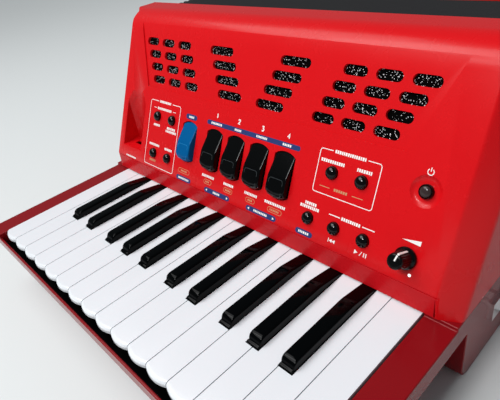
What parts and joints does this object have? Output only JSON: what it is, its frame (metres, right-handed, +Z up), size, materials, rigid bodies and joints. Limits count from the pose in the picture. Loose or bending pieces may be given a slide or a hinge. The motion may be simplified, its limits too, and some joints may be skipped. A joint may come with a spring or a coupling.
{
  "type": "small digital piano accordion",
  "caption": "Small digital piano accordion lying on its back: piano keys, sloping control panel with grille, sliding bellows, and a bass end with buttons and a hand strap.",
  "frame": {"origin": "middle of the underside of the whole closed instrument", "axes": "+X along the keyboard from low notes to high, +Y from the key tips to the bass end, +Z up out of the keys"},
  "size_m": [0.38, 0.377, 0.192],
  "materials": {
    "red_shell": "polished, clear coated",
    "white_key": "polished",
    "black_key": "polished",
    "black_plastic": "satin",
    "blue_key": "satin",
    "smoke_cap": "polished",
    "steel": "ground",
    "chrome": "polished",
    "felt": "felt",
    "speaker_cloth": "glittered mesh",
    "circuit_board": "lacquered",
    "bellows_cloth": "pleated card and cloth",
    "strap_leather": "grained"
  },
  "bodies": {
    "treble": {"treble_cover": "red_shell", "treble_base": "red_shell", "memory_pocket": "red_shell", "treble_grille_cloth": "speaker_cloth", "control_board": "circuit_board", "speakers": "black_plastic", "key_pivot_rod": "steel", "key_pivot_frame": "black_plastic", "key_stop_felts": "felt", "key_springs": "steel", "register_pivot_rod": "steel", "bellows": "bellows_cloth", "bellows_straps": "strap_leather", "shoulder_strap_lugs": "chrome"},
    "bass": {"bass_case": "red_shell", "hand_strap": "strap_leather", "strap_anchors": "black_plastic"},
    "bass_button_set": {"bass_buttons": "black_key"},
    "white_key_01": {"white_key_01": "white_key"},
    "white_key_02": {"white_key_02": "white_key"},
    "white_key_03": {"white_key_03": "white_key"},
    "white_key_04": {"white_key_04": "white_key"},
    "white_key_05": {"white_key_05": "white_key"},
    "white_key_06": {"white_key_06": "white_key"},
    "white_key_07": {"white_key_07": "white_key"},
    "white_key_08": {"white_key_08": "white_key"},
    "white_key_09": {"white_key_09": "white_key"},
    "white_key_10": {"white_key_10": "white_key"},
    "white_key_11": {"white_key_11": "white_key"},
    "white_key_12": {"white_key_12": "white_key"},
    "white_key_13": {"white_key_13": "white_key"},
    "white_key_14": {"white_key_14": "white_key"},
    "white_key_15": {"white_key_15": "white_key"},
    "white_key_16": {"white_key_16": "white_key"},
    "black_key_01": {"black_key_01": "black_key"},
    "black_key_02": {"black_key_02": "black_key"},
    "black_key_03": {"black_key_03": "black_key"},
    "black_key_04": {"black_key_04": "black_key"},
    "black_key_05": {"black_key_05": "black_key"},
    "black_key_06": {"black_key_06": "black_key"},
    "black_key_07": {"black_key_07": "black_key"},
    "black_key_08": {"black_key_08": "black_key"},
    "black_key_09": {"black_key_09": "black_key"},
    "black_key_10": {"black_key_10": "black_key"},
    "set_register_key": {"set_register_key": "blue_key"},
    "register_key_1": {"register_key_1": "black_key"},
    "register_key_2": {"register_key_2": "black_key"},
    "register_key_3": {"register_key_3": "black_key"},
    "register_key_4": {"register_key_4": "black_key"},
    "left_button_1": {"left_button_1": "black_key"},
    "left_button_2": {"left_button_2": "black_key"},
    "left_button_3": {"left_button_3": "black_key"},
    "left_button_4": {"left_button_4": "black_key"},
    "right_button_1": {"right_button_1": "black_key"},
    "right_button_2": {"right_button_2": "black_key"},
    "program_button": {"program_button": "black_key"},
    "player_back_button": {"player_back_button": "black_key"},
    "player_play_button": {"player_play_button": "black_key"},
    "power_button": {"power_button": "smoke_cap"},
    "volume_knob": {"volume_knob": "black_plastic"}
  },
  "joints": [
    {"name": "white_key_01_pivot", "type": "hinge", "parent": "treble", "child": "white_key_01", "pos_m": [-0.147, -0.035, 0.048], "axis": [1, 0, 0], "range_deg": [0, 1.7], "stiffness_Nm_per_rad": 0.5, "springref_deg": -11.46},
    {"name": "white_key_02_pivot", "type": "hinge", "parent": "treble", "child": "white_key_02", "pos_m": [-0.1274, -0.035, 0.048], "axis": [1, 0, 0], "range_deg": [0, 1.7], "stiffness_Nm_per_rad": 0.5, "springref_deg": -11.46},
    {"name": "white_key_03_pivot", "type": "hinge", "parent": "treble", "child": "white_key_03", "pos_m": [-0.1078, -0.035, 0.048], "axis": [1, 0, 0], "range_deg": [0, 1.7], "stiffness_Nm_per_rad": 0.5, "springref_deg": -11.46},
    {"name": "white_key_04_pivot", "type": "hinge", "parent": "treble", "child": "white_key_04", "pos_m": [-0.0882, -0.035, 0.048], "axis": [1, 0, 0], "range_deg": [0, 1.7], "stiffness_Nm_per_rad": 0.5, "springref_deg": -11.46},
    {"name": "white_key_05_pivot", "type": "hinge", "parent": "treble", "child": "white_key_05", "pos_m": [-0.0686, -0.035, 0.048], "axis": [1, 0, 0], "range_deg": [0, 1.7], "stiffness_Nm_per_rad": 0.5, "springref_deg": -11.46},
    {"name": "white_key_06_pivot", "type": "hinge", "parent": "treble", "child": "white_key_06", "pos_m": [-0.049, -0.035, 0.048], "axis": [1, 0, 0], "range_deg": [0, 1.7], "stiffness_Nm_per_rad": 0.5, "springref_deg": -11.46},
    {"name": "white_key_07_pivot", "type": "hinge", "parent": "treble", "child": "white_key_07", "pos_m": [-0.0294, -0.035, 0.048], "axis": [1, 0, 0], "range_deg": [0, 1.7], "stiffness_Nm_per_rad": 0.5, "springref_deg": -11.46},
    {"name": "white_key_08_pivot", "type": "hinge", "parent": "treble", "child": "white_key_08", "pos_m": [-0.0098, -0.035, 0.048], "axis": [1, 0, 0], "range_deg": [0, 1.7], "stiffness_Nm_per_rad": 0.5, "springref_deg": -11.46},
    {"name": "white_key_09_pivot", "type": "hinge", "parent": "treble", "child": "white_key_09", "pos_m": [0.0098, -0.035, 0.048], "axis": [1, 0, 0], "range_deg": [0, 1.7], "stiffness_Nm_per_rad": 0.5, "springref_deg": -11.46},
    {"name": "white_key_10_pivot", "type": "hinge", "parent": "treble", "child": "white_key_10", "pos_m": [0.0294, -0.035, 0.048], "axis": [1, 0, 0], "range_deg": [0, 1.7], "stiffness_Nm_per_rad": 0.5, "springref_deg": -11.46},
    {"name": "white_key_11_pivot", "type": "hinge", "parent": "treble", "child": "white_key_11", "pos_m": [0.049, -0.035, 0.048], "axis": [1, 0, 0], "range_deg": [0, 1.7], "stiffness_Nm_per_rad": 0.5, "springref_deg": -11.46},
    {"name": "white_key_12_pivot", "type": "hinge", "parent": "treble", "child": "white_key_12", "pos_m": [0.0686, -0.035, 0.048], "axis": [1, 0, 0], "range_deg": [0, 1.7], "stiffness_Nm_per_rad": 0.5, "springref_deg": -11.46},
    {"name": "white_key_13_pivot", "type": "hinge", "parent": "treble", "child": "white_key_13", "pos_m": [0.0882, -0.035, 0.048], "axis": [1, 0, 0], "range_deg": [0, 1.7], "stiffness_Nm_per_rad": 0.5, "springref_deg": -11.46},
    {"name": "white_key_14_pivot", "type": "hinge", "parent": "treble", "child": "white_key_14", "pos_m": [0.1078, -0.035, 0.048], "axis": [1, 0, 0], "range_deg": [0, 1.7], "stiffness_Nm_per_rad": 0.5, "springref_deg": -11.46},
    {"name": "white_key_15_pivot", "type": "hinge", "parent": "treble", "child": "white_key_15", "pos_m": [0.1274, -0.035, 0.048], "axis": [1, 0, 0], "range_deg": [0, 1.7], "stiffness_Nm_per_rad": 0.5, "springref_deg": -11.46},
    {"name": "white_key_16_pivot", "type": "hinge", "parent": "treble", "child": "white_key_16", "pos_m": [0.147, -0.035, 0.048], "axis": [1, 0, 0], "range_deg": [0, 1.7], "stiffness_Nm_per_rad": 0.5, "springref_deg": -11.46},
    {"name": "black_key_01_pivot", "type": "hinge", "parent": "treble", "child": "black_key_01", "pos_m": [-0.1201, -0.035, 0.048], "axis": [1, 0, 0], "range_deg": [0, 2.1], "stiffness_Nm_per_rad": 0.5, "springref_deg": -11.46},
    {"name": "black_key_02_pivot", "type": "hinge", "parent": "treble", "child": "black_key_02", "pos_m": [-0.0957, -0.035, 0.048], "axis": [1, 0, 0], "range_deg": [0, 2.1], "stiffness_Nm_per_rad": 0.5, "springref_deg": -11.46},
    {"name": "black_key_03_pivot", "type": "hinge", "parent": "treble", "child": "black_key_03", "pos_m": [-0.0634, -0.035, 0.048], "axis": [1, 0, 0], "range_deg": [0, 2.1], "stiffness_Nm_per_rad": 0.5, "springref_deg": -11.46},
    {"name": "black_key_04_pivot", "type": "hinge", "parent": "treble", "child": "black_key_04", "pos_m": [-0.0398, -0.035, 0.048], "axis": [1, 0, 0], "range_deg": [0, 2.1], "stiffness_Nm_per_rad": 0.5, "springref_deg": -11.46},
    {"name": "black_key_05_pivot", "type": "hinge", "parent": "treble", "child": "black_key_05", "pos_m": [-0.0152, -0.035, 0.048], "axis": [1, 0, 0], "range_deg": [0, 2.1], "stiffness_Nm_per_rad": 0.5, "springref_deg": -11.46},
    {"name": "black_key_06_pivot", "type": "hinge", "parent": "treble", "child": "black_key_06", "pos_m": [0.0171, -0.035, 0.048], "axis": [1, 0, 0], "range_deg": [0, 2.1], "stiffness_Nm_per_rad": 0.5, "springref_deg": -11.46},
    {"name": "black_key_07_pivot", "type": "hinge", "parent": "treble", "child": "black_key_07", "pos_m": [0.0415, -0.035, 0.048], "axis": [1, 0, 0], "range_deg": [0, 2.1], "stiffness_Nm_per_rad": 0.5, "springref_deg": -11.46},
    {"name": "black_key_08_pivot", "type": "hinge", "parent": "treble", "child": "black_key_08", "pos_m": [0.0738, -0.035, 0.048], "axis": [1, 0, 0], "range_deg": [0, 2.1], "stiffness_Nm_per_rad": 0.5, "springref_deg": -11.46},
    {"name": "black_key_09_pivot", "type": "hinge", "parent": "treble", "child": "black_key_09", "pos_m": [0.0974, -0.035, 0.048], "axis": [1, 0, 0], "range_deg": [0, 2.1], "stiffness_Nm_per_rad": 0.5, "springref_deg": -11.46},
    {"name": "black_key_10_pivot", "type": "hinge", "parent": "treble", "child": "black_key_10", "pos_m": [0.122, -0.035, 0.048], "axis": [1, 0, 0], "range_deg": [0, 2.1], "stiffness_Nm_per_rad": 0.5, "springref_deg": -11.46},
    {"name": "set_register_key_rock", "type": "hinge", "parent": "treble", "child": "set_register_key", "pos_m": [-0.0596, -0.0302, 0.12115], "axis": [1, 0, 0], "range_deg": [0, 3.5], "stiffness_Nm_per_rad": 0.5, "springref_deg": -5.73},
    {"name": "register_key_1_rock", "type": "hinge", "parent": "treble", "child": "register_key_1", "pos_m": [-0.0284, -0.0302, 0.12115], "axis": [1, 0, 0], "range_deg": [0, 3.5], "stiffness_Nm_per_rad": 0.5, "springref_deg": -5.73},
    {"name": "register_key_2_rock", "type": "hinge", "parent": "treble", "child": "register_key_2", "pos_m": [-0.0042, -0.0302, 0.12115], "axis": [1, 0, 0], "range_deg": [0, 3.5], "stiffness_Nm_per_rad": 0.5, "springref_deg": -5.73},
    {"name": "register_key_3_rock", "type": "hinge", "parent": "treble", "child": "register_key_3", "pos_m": [0.02, -0.0302, 0.12115], "axis": [1, 0, 0], "range_deg": [0, 3.5], "stiffness_Nm_per_rad": 0.5, "springref_deg": -5.73},
    {"name": "register_key_4_rock", "type": "hinge", "parent": "treble", "child": "register_key_4", "pos_m": [0.0442, -0.0302, 0.12115], "axis": [1, 0, 0], "range_deg": [0, 3.5], "stiffness_Nm_per_rad": 0.5, "springref_deg": -5.73},
    {"name": "left_button_1_press", "type": "slide", "parent": "treble", "child": "left_button_1", "axis": [0, 0.9018, -0.4321], "range_m": [0, 0.0013], "stiffness_N_per_m": 300, "springref_m": -0.003},
    {"name": "left_button_2_press", "type": "slide", "parent": "treble", "child": "left_button_2", "axis": [0, 0.9018, -0.4321], "range_m": [0, 0.0013], "stiffness_N_per_m": 300, "springref_m": -0.003},
    {"name": "left_button_3_press", "type": "slide", "parent": "treble", "child": "left_button_3", "axis": [0, 0.9018, -0.4321], "range_m": [0, 0.0013], "stiffness_N_per_m": 300, "springref_m": -0.003},
    {"name": "left_button_4_press", "type": "slide", "parent": "treble", "child": "left_button_4", "axis": [0, 0.9018, -0.4321], "range_m": [0, 0.0013], "stiffness_N_per_m": 300, "springref_m": -0.003},
    {"name": "right_button_1_press", "type": "slide", "parent": "treble", "child": "right_button_1", "axis": [0, 0.9018, -0.4321], "range_m": [0, 0.0013], "stiffness_N_per_m": 300, "springref_m": -0.003},
    {"name": "right_button_2_press", "type": "slide", "parent": "treble", "child": "right_button_2", "axis": [0, 0.9018, -0.4321], "range_m": [0, 0.0013], "stiffness_N_per_m": 300, "springref_m": -0.003},
    {"name": "program_button_press", "type": "slide", "parent": "treble", "child": "program_button", "axis": [0, 0.9018, -0.4321], "range_m": [0, 0.0013], "stiffness_N_per_m": 300, "springref_m": -0.003},
    {"name": "player_back_button_press", "type": "slide", "parent": "treble", "child": "player_back_button", "axis": [0, 0.9018, -0.4321], "range_m": [0, 0.0013], "stiffness_N_per_m": 300, "springref_m": -0.003},
    {"name": "player_play_button_press", "type": "slide", "parent": "treble", "child": "player_play_button", "axis": [0, 0.9018, -0.4321], "range_m": [0, 0.0013], "stiffness_N_per_m": 300, "springref_m": -0.003},
    {"name": "power_button_press", "type": "slide", "parent": "treble", "child": "power_button", "axis": [0, 0.9018, -0.4321], "range_m": [0, 0.0013], "stiffness_N_per_m": 300, "springref_m": -0.003},
    {"name": "volume_turn", "type": "hinge", "parent": "treble", "child": "volume_knob", "pos_m": [0.1424, -0.05312, 0.08557], "axis": [0, -0.9018, 0.4321], "range_deg": [-135, 165]},
    {"name": "bellows_draw", "type": "slide", "parent": "treble", "child": "bass", "axis": [0, 1, 0], "range_m": [0, 0.22], "deforming": ["bellows"]},
    {"name": "bass_buttons_press", "type": "slide", "parent": "bass", "child": "bass_button_set", "axis": [0, -0.9367, -0.3502], "range_m": [0, 0.0025], "stiffness_N_per_m": 400, "springref_m": -0.003}
  ]
}
